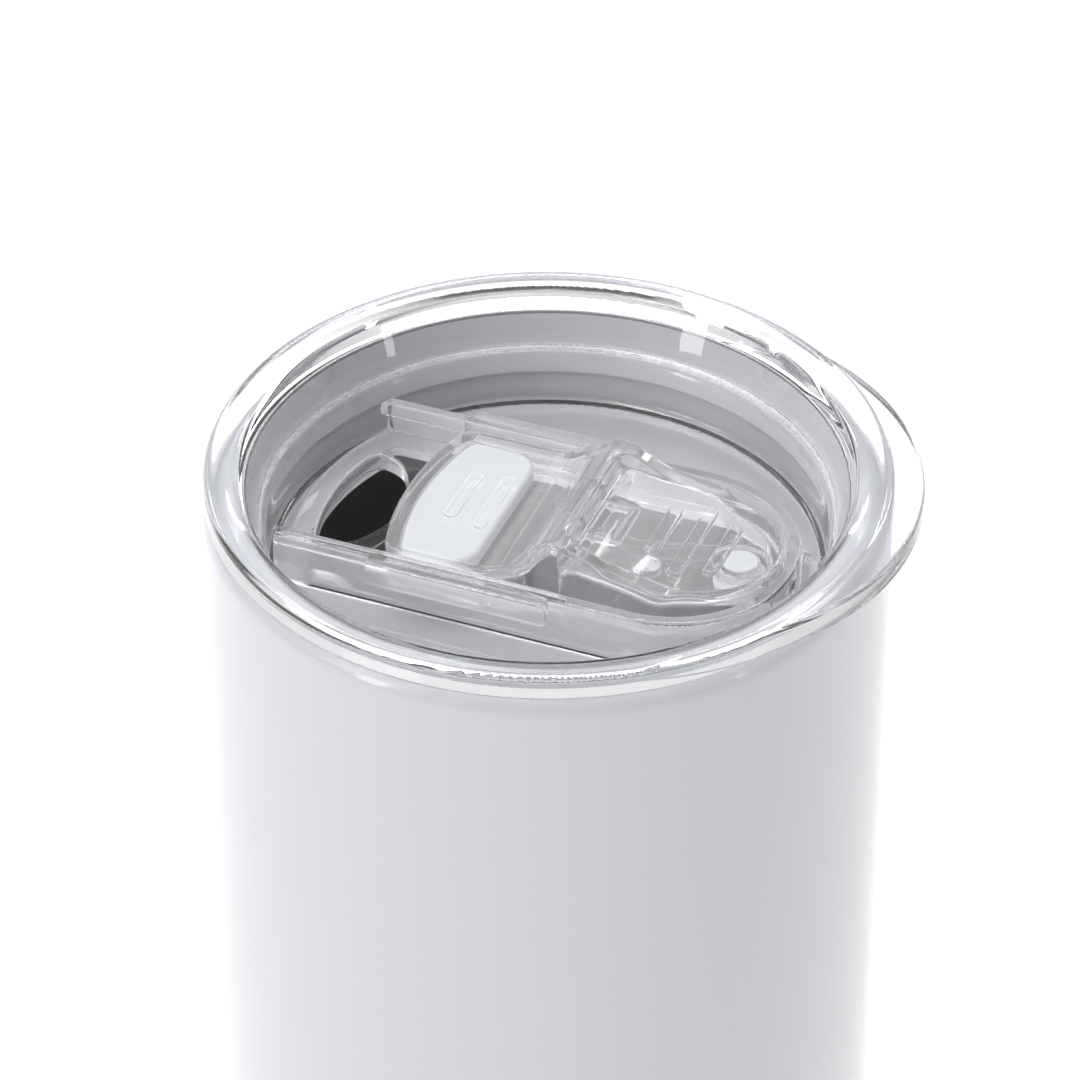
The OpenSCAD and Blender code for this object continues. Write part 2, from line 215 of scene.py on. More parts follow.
def slope_at(field, points, reach=0.02):
    """The field's value and gradient at each point."""
    gradient = np.empty_like(points)
    for axis in range(3):
        ahead, behind = points.copy(), points.copy()
        ahead[:, axis] += reach
        behind[:, axis] -= reach
        gradient[:, axis] = (field(*ahead.T) - field(*behind.T)) / (2 * reach)
    return field(*points.T), gradient


def new_object(name, mesh, body, slot, *nodes):
    """Puts a mesh, in metres, in the scene, on its body, in place of the CAD nodes it stands for."""
    obj = bpy.data.objects.new(name, mesh)
    bpy.context.scene.collection.objects.link(obj)
    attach(obj, body)
    if nodes:
        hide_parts(*nodes)
    return obj


def moulded(name, field, low, high, step):
    """A closed mesh of the field's surface, in metres. Its heights count from the flange's underside."""
    low, high = np.array(low, float), np.array(high, float)
    points, faces = net(sample(field, low, high, step), low, step)
    for _ in range(3):
        value, gradient = slope_at(field, points)
        move = value[:, None] * gradient / np.maximum((gradient**2).sum(1), 0.2)[:, None]
        points -= np.clip(move, -step / 2, step / 2)
    gradient = slope_at(field, points)[1]
    normals = gradient / np.linalg.norm(gradient, axis=1)[:, None]
    points[:, 2] += LID_Z
    mesh = bpy.data.meshes.new(name)
    mesh.vertices.add(len(points))
    mesh.vertices.foreach_set("co", (points * MM).astype(np.float32).ravel())
    mesh.loops.add(4 * len(faces))
    mesh.loops.foreach_set("vertex_index", faces.astype(np.int32).ravel())
    mesh.polygons.add(len(faces))
    mesh.polygons.foreach_set("loop_start", np.arange(0, 4 * len(faces), 4, dtype=np.int32))
    mesh.update(calc_edges=True)
    mesh.shade_smooth()
    mesh.normals_split_custom_set_from_vertices(normals.astype(np.float32))
    return mesh


# ---- The lid ----

PLUG_R = 33.1
GASKET_GROOVE_R = 31.9
GASKET_GROOVE_Z = (-7.3, -4.3)
WELL_R = 30.3
WELL_Z = -9.9
WELL_DRAFT = 0.1 / 6
FLOOR_T = 1.6
FUNNEL_Z = -3.8
FUNNEL_TOP = (32.7, 1.2)
DISH_FOOT = (33.2, 2.25)
DISH_TOP = (35.7, 3.1)
LID_WALL = 2.2
RAIL_TOP = -3.9
DECK_Z = -7.8
RAIL_HALF = 12.4
RAIL_T = 1.6
BEND_X = 14.3
ISLAND_R = 27.9
ISLAND_WALL = 2.0
NEAR_RAIL_REACH = 1.8
LIP_T = 1.7
GROOVE_D = 0.85
SLOT_END = 7.0
BLOCK_X = (-15, 5.5)
BLOCK_T = 1.3
BLOCK_H = 2.9
TIE_X = (27, 31.5)
TIE_Y = 5.0
TIE_HALF_T = 0.6
TIE_TOP = -5.0
SIP_R = 25.2
SIP_INNER_X = -28.3
SIP_INNER_R = 11.0
SIP_HALF = 8.6
TAB_R = 30.5
TAB_REACH = 3.4
TAB_TURN = math.radians(13)
TAB_TOP = 2.7
VENT_X = 11.6
VENT_R = 1.2


def stadium(x, y, half):
    """A strip along the track that ends in a half circle at its bend."""
    return np.where(x < BEND_X, np.abs(y) - half, np.hypot(x - BEND_X, y) - half)


def tab_plan(x, y):
    """Outline of the thumb tab: an arc that leaves the flange's circle on both sides."""
    away = FLANGE_R + TAB_REACH - TAB_R
    return np.hypot(x - away * math.cos(TAB_TURN), y - away * math.sin(TAB_TURN)) - TAB_R


def sip_plan(x, y):
    """Outline of the sip hole: an arc about the lid's centre faces a tighter one, with round tips."""
    lens = meet(np.hypot(x, y) - SIP_R, np.hypot(x - SIP_INNER_X, y) - SIP_INNER_R, 1.6)
    return meet(lens, np.abs(y) - SIP_HALF, 1.6)


def track_field(x, y, z, r):
    """The island that carries the slider: a deck between two rails that join in a bend."""
    side = np.abs(y)
    # The rail on the -Y side reaches nearer to the well's wall
    end_r = ISLAND_R + NEAR_RAIL_REACH * np.clip((-y - 9) / 4, 0, 1)
    outer = meet(stadium(x, y, RAIL_HALF + RAIL_T), r - end_r, 0.5)
    island = meet(meet(outer, z - RAIL_TOP, 0.35), PLUG_Z + 0.5 - z)
    block = rect(x, side, (BLOCK_X[0], RAIL_HALF), (BLOCK_X[1], RAIL_HALF + RAIL_T + BLOCK_T), 0.3)
    island = join(island, meet(block, slab(z, RAIL_TOP - BLOCK_H, RAIL_TOP), 0.3), 0.25)
    tie = rect(x, np.abs(side - TIE_Y), (TIE_X[0], -1), (TIE_X[1], TIE_HALF_T))
    island = join(island, meet(tie, slab(z, WELL_Z - 0.5, TIE_TOP), 0.3), 0.4)
    channel = meet(stadium(x, y, RAIL_HALF), DECK_Z - z, 0.3)
    island = cut(island, channel, 0.3)
    slot = rect(x, side, (-FLANGE_R, 0), (SLOT_END, RAIL_HALF + GROOVE_D), 0.3)
    return cut(island, meet(slot, slab(z, DECK_Z, RAIL_TOP - LIP_T)), 0.2)


def lid_field(x, y, z):
    r = np.hypot(x, y)
    flange = meet(meet(r - FLANGE_R, z - FLANGE_H, 1.1), -z, 0.35)
    tab = meet(meet(tab_plan(x, y), z - TAB_TOP, 0.45), -z, 0.35)
    flange = join(flange, tab, 0.25)
    plug = meet(meet(r - PLUG_R, PLUG_Z - z, 1.2), z - 1.0)
    solid = join(flange, plug, 0.3)
    groove = meet(GASKET_GROOVE_R - r, slab(z, *GASKET_GROOVE_Z), 0.3)
    solid = cut(solid, groove, 0.3)
    # The well: straight wall, funnel, and the flange's dished top
    well = meet(r - WELL_R - WELL_DRAFT * (z - WELL_Z), WELL_Z - z, 1.0)
    funnel = meet(above(r, z, (WELL_R, FUNNEL_Z), FUNNEL_TOP), FUNNEL_Z - z)
    well = join(well, funnel, 1.2)
    dish = above(r, z, DISH_FOOT, DISH_TOP)
    solid = cut(solid, join(well, dish, 0.3), 0.45)
    solid = join(solid, track_field(x, y, z, r), 0.45)
    # Under the deck the island is hollow, so that its floor is one wall thick
    under = meet(stadium(x, y, RAIL_HALF + RAIL_T - ISLAND_WALL), r - ISLAND_R + ISLAND_WALL, 0.5)
    under = meet(under, z - (DECK_Z - LID_WALL), 0.5)
    skirt = meet(r - WELL_R, z - (WELL_Z - FLOOR_T), 0.6)
    solid = cut(solid, join(under, skirt, 0.3), 0.4)
    hole = meet(sip_plan(x, y), z - RAIL_TOP)
    solid = cut(solid, hole, 0.35)
    vent = meet(np.hypot(x - VENT_X, y) - VENT_R, z - RAIL_TOP)
    return cut(solid, vent, 0.25)


# ---- The slider ----

PLATE_HALF = 12.1
PLATE_FRONT = -16.2
PLATE_FRONT_R = 35.0
PLATE_BACK = 2.4
FOOT_Z = -7.5
GRIP_HALF = 10.5
THUMB_START = 4.6
THUMB_HALF = 8.3
TAIL_X = 17.2
TAIL_R = 9.2
WALL = 1.3
WING_X = (-13.6, -2.2)
WING_REACH = 12.95
WING_TOP = -5.9
RAMP = [(-3.8, -4.1), (-1.0, -3.3), (1.6, -1.5), (3.7, 0.25), (4.1, 0.4)]
RIM = RAMP + [(6.4, 0.25), (8.6, -0.8), (11.4, -2.0), (15, -2.75), (19, -3.2)]
FLOOR = RAMP + [(4.8, 0.38), (5.0, 0.25), (5.5, -1.0), (7.4, -1.5), (13.4, -2.3), (19, -3.2)]
GRIP_RIBS = [(13.4, 4.2), (16.7, 6.4), (20.1, 4.5)]
PAD_RIBS = [(-9.8, 4.2), (-6.2, 4.9)]
STIFFENER_X = (4.0, 9.0)
STIFFENER_HALF = 3.0
STIFFENER_Z = -4.1
INNER_RIB_T = 0.8
STOPPER_X = 22.1
SOCKET_R = 2.55
SOCKET_Z = -6.1
SEAL_FOOT_Z = -7.7
PAD_FRONT = -14.7
PAD_FRONT_R = 33.0
PAD_BACK = -4.9
PAD_HALF = 10.7
PAD_TOP = -5.45
STOPPER_R = 2.9
STOPPER_RIM_TOP = -6.8
STEM_R = 2.0
STEM_TOP = -4.55


def slider_plan(x, y):
    front = np.hypot(x - PLATE_FRONT - PLATE_FRONT_R, y) - PLATE_FRONT_R
    plate = meet(meet(front, x - PLATE_BACK, 0.6), np.abs(y) - PLATE_HALF, 1.6)
    grip = rect(x, y, (-2, -GRIP_HALF), (TAIL_X, GRIP_HALF), 1.5)
    tail = np.hypot(x - TAIL_X, y) - TAIL_R
    return join(plate, join(grip, tail, 2.5), 0.6)


def under_line(x, z, knots):
    """The region under a side line, as a distance across the line."""
    reach = 0.05
    steep = (curve(x + reach, knots) - curve(x - reach, knots)) / (2 * reach)
    return (z - curve(x, knots)) / np.sqrt(1 + steep * steep)


def slider_field(x, y, z):
    plan = slider_plan(x, y)
    rim = under_line(x, z, RIM)
    floor = under_line(x, z, FLOOR)
    thumb = rect(x, y, (THUMB_START, -THUMB_HALF), (30, THUMB_HALF), 2.4)
    top = join(floor, meet(rim, -thumb, 0.3), 0.35)
    for ribs, height in ((GRIP_RIBS, 0.4), (PAD_RIBS, 0.15)):
        for at, half in ribs:
            top = join(top, meet(top - height, bar(x, y, half, at, 0.72), height / 2), 0.15)
    solid = meet(meet(plan, top, 0.5), FOOT_Z - z, 0.2)
    cavity = meet(plan + WALL, floor + WALL, 0.7)
    # Ribs stand in the cavity: a frame that stiffens the grip, and the stopper's socket
    frame_line = rect(x, y, (STIFFENER_X[0], -STIFFENER_HALF), (STIFFENER_X[1], STIFFENER_HALF), 0.5)
    stiffener = meet(np.abs(frame_line) - INNER_RIB_T / 2, STIFFENER_Z - z, 0.1)
    socket_line = np.hypot(x - STOPPER_X, y) - SOCKET_R
    socket = meet(np.abs(socket_line) - INNER_RIB_T / 2, SOCKET_Z - z, 0.1)
    cavity = cut(cavity, join(stiffener, socket), 0.3)
    solid = cut(solid, cavity, 0.25)
    wing = rect(x, np.abs(y), (WING_X[0], PLATE_HALF - 0.6), (WING_X[1], WING_REACH), 0.4)
    return join(solid, meet(wing, slab(z, FOOT_Z, WING_TOP), 0.2), 0.15)


def pad_field(x, y, z):
    front = np.hypot(x - PAD_FRONT - PAD_FRONT_R, y) - PAD_FRONT_R
    plan = meet(front, rect(x, y, (-16, -PAD_HALF), (PAD_BACK, PAD_HALF), 3.2), 1.2)
    return meet(plan, slab(z, SEAL_FOOT_Z, PAD_TOP), 0.55)


def stopper_field(x, y, z):
    r = np.hypot(x - STOPPER_X, y)
    rim = meet(r - STOPPER_R, slab(z, SEAL_FOOT_Z, STOPPER_RIM_TOP), 0.4)
    stem = meet(r - STEM_R, slab(z, SEAL_FOOT_Z, STEM_TOP), 0.3)
    return join(rim, stem, 0.3)


# ---- Turned pieces ----


def rounded(points, steps=8):
    """A profile from (radius, height, corner radius) entries, its corners drawn as arcs."""
    result = []
    count = len(points)
    for i, (px, pz, radius) in enumerate(points):
        here = Vector((px, pz))
        if radius <= 0:
            result.append(here)
            continue
        to_last = (Vector(points[i - 1][:2]) - here).normalized()
        to_next = (Vector(points[(i + 1) % count][:2]) - here).normalized()
        half = math.acos(max(-1, min(1, to_last.dot(to_next)))) / 2
        centre = here + (to_last + to_next).normalized() * radius / math.sin(half)
        first = here + to_last * radius / math.tan(half) - centre
        last = here + to_next * radius / math.tan(half) - centre
        start = math.atan2(first.y, first.x)
        sweep = (math.atan2(last.y, last.x) - start + math.pi) % (2 * math.pi) - math.pi
        for k in range(steps + 1):
            turn = start + sweep * k / steps
            result.append(centre + radius * Vector((math.cos(turn), math.sin(turn))))
    return result


def turned(name, profile, segments=288, centre=(0, 0)):
    """A closed mesh of a profile turned about Z, in metres."""
    outline = rounded(profile)
    verts, rings = [], []
    for p in outline:
        if p.x < 1e-6:
            rings.append([len(verts)] * segments)
            verts.append((centre[0] * MM, centre[1] * MM, p.y * MM))
            continue
        rings.append(range(len(verts), len(verts) + segments))
        for k in range(segments):
            turn = 2 * math.pi * k / segments
            x, y = p.x * math.cos(turn) + centre[0], p.x * math.sin(turn) + centre[1]
            verts.append((x * MM, y * MM, p.y * MM))
    faces = []
    for i in range(len(rings)):
        a, b = rings[i], rings[(i + 1) % len(rings)]
        if len(set(a)) == 1 and len(set(b)) == 1:
            continue
        for k in range(segments):
            n = (k + 1) % segments
            corners = list(dict.fromkeys((a[k], a[n], b[n], b[k])))
            if len(corners) > 2:
                faces.append(corners)
    mesh = bpy.data.meshes.new(name)
    mesh.from_pydata(verts, [], faces)
    mesh.validate()
    mesh.shade_smooth()
    mesh.set_sharp_from_angle(angle=math.radians(38))
    return mesh


# ---- Materials ----


def nodes_of(name):
    material = bpy.data.materials.new(name)
    material.use_nodes = True
    tree = material.node_tree
    tree.nodes.clear()
    output = tree.nodes.new("ShaderNodeOutputMaterial")
    return material, tree, output


def principled(tree, **values):
    shader = tree.nodes.new("ShaderNodeBsdfPrincipled")
    for key, value in values.items():
        shader.inputs[key.replace("_", " ")].default_value = value
    return shader


def add(tree, kind, inputs=None, **settings):
    node = tree.nodes.new(kind)
    for key, value in settings.items():
        setattr(node, key, value)
    for key, value in (inputs or {}).items():
        if isinstance(value, bpy.types.NodeSocket):
            tree.links.new(value, node.inputs[key])
        else:
            node.inputs[key].default_value = value
    return node


def clear_plastic(name, tone=0.95, roughness=0.02, clear=0.985, let_through=0.8):
    """Moulded plastic. What isn't clear of it scatters light, and shadows pass through in part."""
    material, tree, output = nodes_of(name)
    colour = (tone, tone + 0.005, tone + 0.025, 1)
    shader = principled(tree, Base_Color=colour, Roughness=roughness, IOR=1.49)
    shader.inputs["Transmission Weight"].default_value = clear
    place = add(tree, "ShaderNodeTexCoord")
    flow = add(tree, "ShaderNodeTexNoise", {"Vector": place.outputs["Object"], "Scale": 160.0, "Detail": 1.0})
    bump = add(tree, "ShaderNodeBump", {"Height": flow.outputs["Fac"], "Strength": 0.05, "Distance": 0.0004})
    tree.links.new(bump.outputs["Normal"], shader.inputs["Normal"])
    open_way = add(tree, "ShaderNodeBsdfTransparent", {"Color": (let_through, let_through, let_through, 1)})
    path = add(tree, "ShaderNodeLightPath")
    mix = add(tree, "ShaderNodeMixShader", {
        0: path.outputs["Is Shadow Ray"], 1: shader.outputs[0], 2: open_way.outputs[0],
    })
    tree.links.new(mix.outputs[0], output.inputs["Surface"])
    return material


def silicone(name):
    material, tree, output = nodes_of(name)
    shader = principled(tree, Base_Color=(0.56, 0.57, 0.595, 1), Roughness=0.42, IOR=1.41)
    shader.inputs["Subsurface Weight"].default_value = 0.25
    shader.inputs["Subsurface Radius"].default_value = (0.002, 0.002, 0.002)
    shader.inputs["Subsurface Scale"].default_value = 0.5
    place = add(tree, "ShaderNodeTexCoord")
    where = place.outputs["Object"]
    grain = add(tree, "ShaderNodeTexNoise", {"Vector": where, "Scale": 2500.0, "Detail": 2.0})
    bump = add(tree, "ShaderNodeBump", {"Height": grain.outputs["Fac"], "Strength": 0.08, "Distance": 0.0002})
    tree.links.new(bump.outputs["Normal"], shader.inputs["Normal"])
    tree.links.new(shader.outputs[0], output.inputs["Surface"])
    return material


def coated_steel(name):
    """White coating: a smooth glossy film over a faintly uneven base."""
    material, tree, output = nodes_of(name)
    shader = principled(tree, Base_Color=(0.58, 0.585, 0.615, 1), Roughness=0.3, IOR=1.4)
    shader.inputs["Coat Weight"].default_value = 0.5
    shader.inputs["Coat Roughness"].default_value = 0.06
    place = add(tree, "ShaderNodeTexCoord")
    peel = add(tree, "ShaderNodeTexNoise", {"Vector": place.outputs["Object"], "Scale": 420.0, "Detail": 2.0})
    bump = add(tree, "ShaderNodeBump", {"Height": peel.outputs["Fac"], "Strength": 0.04, "Distance": 0.0003})
    tree.links.new(bump.outputs["Normal"], shader.inputs["Normal"])
    tree.links.new(shader.outputs[0], output.inputs["Surface"])
    return material


def brushed_steel(name, colour=(0.78, 0.78, 0.795, 1), roughness=0.36):
    """Bare steel with fine turning marks around its axis."""
    material, tree, output = nodes_of(name)
    shader = principled(tree, Base_Color=colour, Metallic=1.0, Roughness=roughness)
    place = add(tree, "ShaderNodeTexCoord")
    split = add(tree, "ShaderNodeSeparateXYZ", {"Vector": place.outputs["Object"]})
    flat = add(tree, "ShaderNodeCombineXYZ", {"X": split.outputs["X"], "Y": split.outputs["Y"]})
    radius = add(tree, "ShaderNodeVectorMath", {0: flat.outputs[0]}, operation="LENGTH")
    along = add(tree, "ShaderNodeCombineXYZ", {"X": radius.outputs["Value"], "Z": split.outputs["Z"]})
    marks = add(tree, "ShaderNodeTexNoise", {"Vector": along.outputs[0], "Scale": 3500.0, "Detail": 3.0})
    rough = add(tree, "ShaderNodeMapRange", {
        "Value": marks.outputs["Fac"], "To Min": roughness * 0.75, "To Max": roughness * 1.4,
    })
    bump = add(tree, "ShaderNodeBump", {"Height": marks.outputs["Fac"], "Strength": 0.12, "Distance": 0.0001})
    tree.links.new(rough.outputs[0], shader.inputs["Roughness"])
    tree.links.new(bump.outputs["Normal"], shader.inputs["Normal"])
    tree.links.new(shader.outputs[0], output.inputs["Surface"])
    return material


def matt(name, colour, roughness=0.7, metallic=0.0):
    material, tree, output = nodes_of(name)
    shader = principled(tree, Base_Color=colour, Roughness=roughness, Metallic=metallic)
    place = add(tree, "ShaderNodeTexCoord")
    where = place.outputs["Object"]
    grain = add(tree, "ShaderNodeTexNoise", {"Vector": where, "Scale": 1800.0, "Detail": 3.0})
    bump = add(tree, "ShaderNodeBump", {"Height": grain.outputs["Fac"], "Strength": 0.3, "Distance": 0.0002})
    tree.links.new(bump.outputs["Normal"], shader.inputs["Normal"])
    tree.links.new(shader.outputs[0], output.inputs["Surface"])
    return material


CLEAR = clear_plastic("clear_plastic", tone=0.88)
SLIDER_PLASTIC = clear_plastic("slider_plastic", tone=0.97, clear=0.88)
FROSTED_UNDER = clear_plastic("frosted_under", roughness=0.35, clear=0.5)
FROSTED_SIDE = clear_plastic("frosted_side", roughness=0.35, clear=0.38)
SILICONE = silicone("silicone")
COATING = coated_steel("white_coating")
STEEL = brushed_steel("brushed_steel")
# The inner cup's steel is given a darker colour than the bare steel elsewhere: painted shade for the dim
# inside of the deep cup under the lid
CUP_STEEL_PAINTED_SHADE = brushed_steel("cup_steel_painted_shade", (0.45, 0.45, 0.46, 1), 0.4)
SOLDER = matt("solder", (0.36, 0.37, 0.39, 1), 0.45, 1.0)
GETTER = matt("getter_powder", (0.1, 0.1, 0.105, 1), 0.9)

# ---- The vessel ----

SHELL_T = 0.6
LINER_T = 0.5
MOUTH_R = MOUTH_WALL_R - LINER_T
CUP_R = MOUTH_R - 0.5
SEAT_Z = BODY_H - 15

shell = turned("outer_wall", [
    (MOUTH_WALL_R, BODY_H, 0.0), (BODY_R, BODY_H, 2.6), (BODY_R, SEAM_Z, 0.25), (BODY_R - SHELL_T, SEAM_Z, 0),
    (BODY_R - SHELL_T, BODY_H - SHELL_T, 2.0), (MOUTH_WALL_R, BODY_H - SHELL_T, 0),
])
shell.materials.append(COATING)
new_object("outer_wall", shell, "vessel", "coated_steel", "outer_shell")

CUP_FLOOR_Z = liner_low.z + LINER_T
liner = turned("inner_cup", [
    (MOUTH_R, BODY_H, 0.35), (MOUTH_R, SEAT_Z, 1.0), (CUP_R, SEAT_Z - 2, 1.0), (CUP_R, CUP_FLOOR_Z, 9.0),
    (0, CUP_FLOOR_Z + 1.2, 0), (0, CUP_FLOOR_Z + 0.7, 0), (CUP_R + LINER_T, CUP_FLOOR_Z - LINER_T, 9.5),
    (CUP_R + LINER_T, SEAT_Z - 2, 1.0), (MOUTH_R + LINER_T, SEAT_Z, 1.0), (MOUTH_R + LINER_T, BODY_H, 0),
])
# The inner cup takes the darkened steel, whose colour is painted shade
liner.materials.append(CUP_STEEL_PAINTED_SHADE)
new_object("inner_cup", liner, "vessel", "bare_steel", "inner_liner")

FOOT_R = BODY_R - 3.8
RECESS_Z = 2.6
RECESS_R = FOOT_R - 0.6
DIMPLE_R = 7.0
DIMPLE_Z = RECESS_Z + 1.8
HOLE_R = 1.2
CLIP_X = 17.0
PELLET_R = 4.0

base = turned("pressed_base", [
    (BODY_R, SEAM_Z, 0.2), (BODY_R, 0, 2.4), (FOOT_R, 0, 0.9), (RECESS_R, RECESS_Z, 0.6),
    (DIMPLE_R, RECESS_Z, 0.6), (DIMPLE_R - 1.5, DIMPLE_Z, 0.6),
    (HOLE_R, DIMPLE_Z, 0), (HOLE_R, DIMPLE_Z + SHELL_T, 0),
    (DIMPLE_R - 1.2, DIMPLE_Z + SHELL_T, 0.6), (DIMPLE_R + 0.3, RECESS_Z + SHELL_T, 0.6),
    (RECESS_R + 0.6, RECESS_Z + SHELL_T, 0.6), (FOOT_R + 0.6, SHELL_T, 0.3),
    (BODY_R - SHELL_T, SHELL_T, 1.8), (BODY_R - SHELL_T, SEAM_Z, 0),
])
base.materials.append(COATING)
new_object("pressed_base", base, "vessel", "coated_steel", "outer_base")

cover_edge = RECESS_R - 0.4
cover = turned("evacuation_cover", [
    (0, RECESS_Z, 0), (0, RECESS_Z - 0.5, 0), (cover_edge - 3.0, RECESS_Z - 0.5, 1.0),
    (cover_edge - 2.6, RECESS_Z - 0.35, 1.0), (cover_edge, RECESS_Z - 0.35, 0.15),
    (cover_edge, RECESS_Z, 0.1),
])
cover.materials.append(STEEL)
new_object("evacuation_cover", cover, "vessel", "bare_steel", "base_cover")

bead = turned("solder_bead", [
    (0, DIMPLE_Z + SHELL_T, 0), (0, DIMPLE_Z - 1.1, 0), (2.9, DIMPLE_Z - 0.8, 0.6), (3.6, DIMPLE_Z, 0),
    (HOLE_R, DIMPLE_Z, 0), (HOLE_R, DIMPLE_Z + SHELL_T, 0),
], 96)
bead.materials.append(SOLDER)
new_object("solder_bead", bead, "vessel", "solder", "vacuum_seal")

CLIP_Z = RECESS_Z + SHELL_T
CLIP_T = 0.4
clip_r = PELLET_R + CLIP_T
clip_floor = CLIP_Z + CLIP_T
clip_top = CLIP_Z + 2.0
clip = turned("getter_holder", [
    (0, CLIP_Z, 0), (clip_r + 2.2, CLIP_Z, 0.1), (clip_r + 2.2, clip_floor, 0.1), (clip_r, clip_floor, 0.15),
    (clip_r, clip_top, 0.3), (PELLET_R - 0.8, clip_top, 0.1), (PELLET_R - 0.8, clip_top - CLIP_T, 0.1),
    (PELLET_R, clip_top - CLIP_T, 0.05), (PELLET_R, clip_floor, 0), (0, clip_floor, 0),
], 96, (CLIP_X, 0))
clip.materials.append(STEEL)
new_object("getter_holder", clip, "vessel", "bare_steel", "getter_clip")

pellet = turned("getter_tablet", [
    (0, clip_floor, 0), (PELLET_R, clip_floor, 0.15),
    (PELLET_R, clip_top - CLIP_T, 0.2), (0, clip_top - CLIP_T, 0),
], 96, (CLIP_X, 0))
pellet.materials.append(GETTER)
new_object("getter_tablet", pellet, "vessel", "getter_powder", "getter_pellet")

# ---- The lid, its gasket and the slider ----


def frost(mesh):
    """Gives the faces that keep the mould's fine texture their own materials: the second one to the underside
    of the well's floor, the third one to the plug's outside and the outer side of the track.
    """
    middle = np.empty(3 * len(mesh.polygons), np.float32)
    normal = np.empty(3 * len(mesh.polygons), np.float32)
    mesh.polygons.foreach_get("center", middle)
    mesh.polygons.foreach_get("normal", normal)
    x, y, z = middle.reshape(-1, 3).T / MM
    up = normal[2::3]
    z = z - LID_Z
    r = np.hypot(x, y)
    under = (up < -0.9) & (np.abs(z - WELL_Z + FLOOR_T) < 0.4)
    outward = (normal[0::3] * x + normal[1::3] * y) / np.maximum(r, 1)
    outside = (outward > 0.5) & (r > WELL_R + 1.3) & (z < -0.4)
    from_track = stadium(x, y, RAIL_HALF + RAIL_T)
    track = (np.abs(from_track) < 0.1) | (from_track > 1.0)
    track = track & (np.abs(up) < 0.5) & (r < WELL_R - 0.6) & (z > WELL_Z) & (z < RAIL_TOP - 0.2)
    mesh.polygons.foreach_set("material_index", np.where(under, 1, 2 * (outside | track)).astype(np.int32))


LID_STEP = 0.25
SLIDER_STEP = 0.17

lid = moulded("clear_lid", lid_field, (-38, -38, PLUG_Z - 1), (42, 38, 4.2), LID_STEP)
lid.materials.append(CLEAR)
lid.materials.append(FROSTED_UNDER)
lid.materials.append(FROSTED_SIDE)
frost(lid)
new_object("clear_lid", lid, "lid", "clear_plastic", "lid_body")

slider = moulded("slide_cover", slider_field, (-17.5, -14, -8.5), (27.5, 14, 2), SLIDER_STEP)
slider.materials.append(SLIDER_PLASTIC)
new_object("slide_cover", slider, "slider", "clear_plastic", "slider")

pad = moulded("seal_pad", pad_field, (-17, -12, -8.5), (-3, 12, -4.5), 0.25)
pad.materials.append(SILICONE)
new_object("seal_pad", pad, "slider", "silicone", "slider_pad")

stopper = moulded("vent_stopper", stopper_field, (18, -4, -8.5), (26, 4, -4), 0.15)
stopper.materials.append(SILICONE)
new_object("vent_stopper", stopper, "slider", "silicone", "vent_plug")

GASKET_IN_R = 32.2
GASKET_OUT_R = 32.8
FIN_R = 33.4
FIN_H = 0.8

gasket = turned("gasket_ring", [
    (GASKET_IN_R, gasket_low.z, 0.1), (FIN_R, gasket_low.z, 0.3), (FIN_R, gasket_low.z + FIN_H, 0.3),
    (GASKET_OUT_R, gasket_low.z + FIN_H, 0.1), (GASKET_OUT_R, gasket_high.z - FIN_H, 0.1),
    (FIN_R, gasket_high.z - FIN_H, 0.3), (FIN_R, gasket_high.z, 0.3), (GASKET_IN_R, gasket_high.z, 0.1),
])
gasket.materials.append(SILICONE)
new_object("gasket_ring", gasket, "seal_ring", "silicone", "lid_gasket")

# ---- Floor, light and camera ----

TOP = Vector((0, 0, LID_Z)) * MM
CAMERA_AZIMUTH = -68.5
CAMERA_ELEVATION = 36.46
BACK_TURN = math.radians(CAMERA_AZIMUTH + 180)
BACK_WAY = (math.cos(BACK_TURN) * 0.8, math.sin(BACK_TURN) * 0.8, 0.6)
GAP_HEIGHT = 0.54


def floor_material():
    material, tree, output = nodes_of("pale_floor")
    shader = principled(tree, Base_Color=(0.82, 0.82, 0.82, 1), Roughness=0.9)
    shader.inputs["Emission Color"].default_value = (1, 1, 1, 1)
    shader.inputs["Emission Strength"].default_value = 0.42
    tree.links.new(shader.outputs[0], output.inputs["Surface"])
    return material


def add_floor():
    mesh = bpy.data.meshes.new("floor")
    half = 6.0
    corners = [(-half, -half, 0), (half, -half, 0), (half, half, 0), (-half, half, 0)]
    mesh.from_pydata(corners, [], [(0, 1, 2, 3)])
    mesh.materials.append(floor_material())
    obj = bpy.data.objects.new("floor", mesh)
    bpy.context.scene.collection.objects.link(obj)


